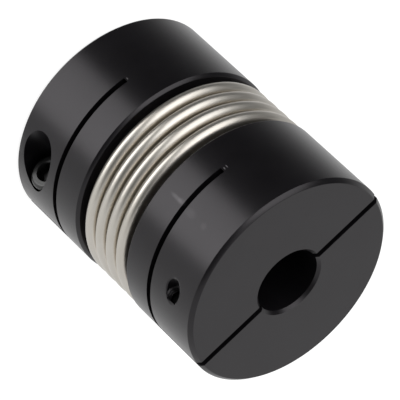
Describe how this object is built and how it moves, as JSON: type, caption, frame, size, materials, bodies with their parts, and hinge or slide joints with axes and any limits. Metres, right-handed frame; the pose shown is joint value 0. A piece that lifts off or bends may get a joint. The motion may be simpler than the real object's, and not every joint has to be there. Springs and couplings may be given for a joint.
{
  "type": "bellows coupling",
  "caption": "Bellows shaft coupling: slit clamp hubs at both ends, each closed by a cross screw, joined by a thin corrugated metal bellows that flexes.",
  "frame": {"origin": "on the shaft axis, at the outer face of the lower hub", "axes": "+Z along the shaft axis towards the upper hub, +Y towards the clamp screws, X along the screws"},
  "size_m": [0.0334, 0.0332, 0.0413],
  "materials": {
    "anodised_aluminium": "black anodised, satin",
    "stainless_steel": "satin",
    "black_oxide_steel": "black oxide, lightly oiled",
    "adhesive": "cured, dull"
  },
  "bodies": {
    "lower_end": {"lower_hub": "anodised_aluminium", "lower_clamp_screw": "black_oxide_steel", "lower_bond_ring": "adhesive", "bellows": "stainless_steel"},
    "upper_end": {"upper_hub": "anodised_aluminium", "upper_clamp_screw": "black_oxide_steel", "upper_bond_ring": "adhesive"}
  },
  "joints": [
    {"name": "bellows_flex", "type": "hinge", "parent": "lower_end", "child": "upper_end", "pos_m": [0, 0, 0.02065], "axis": [1, 0, 0], "range_deg": [-1.5, 1.5], "stiffness_Nm_per_rad": 1, "deforming": ["bellows"]}
  ]
}
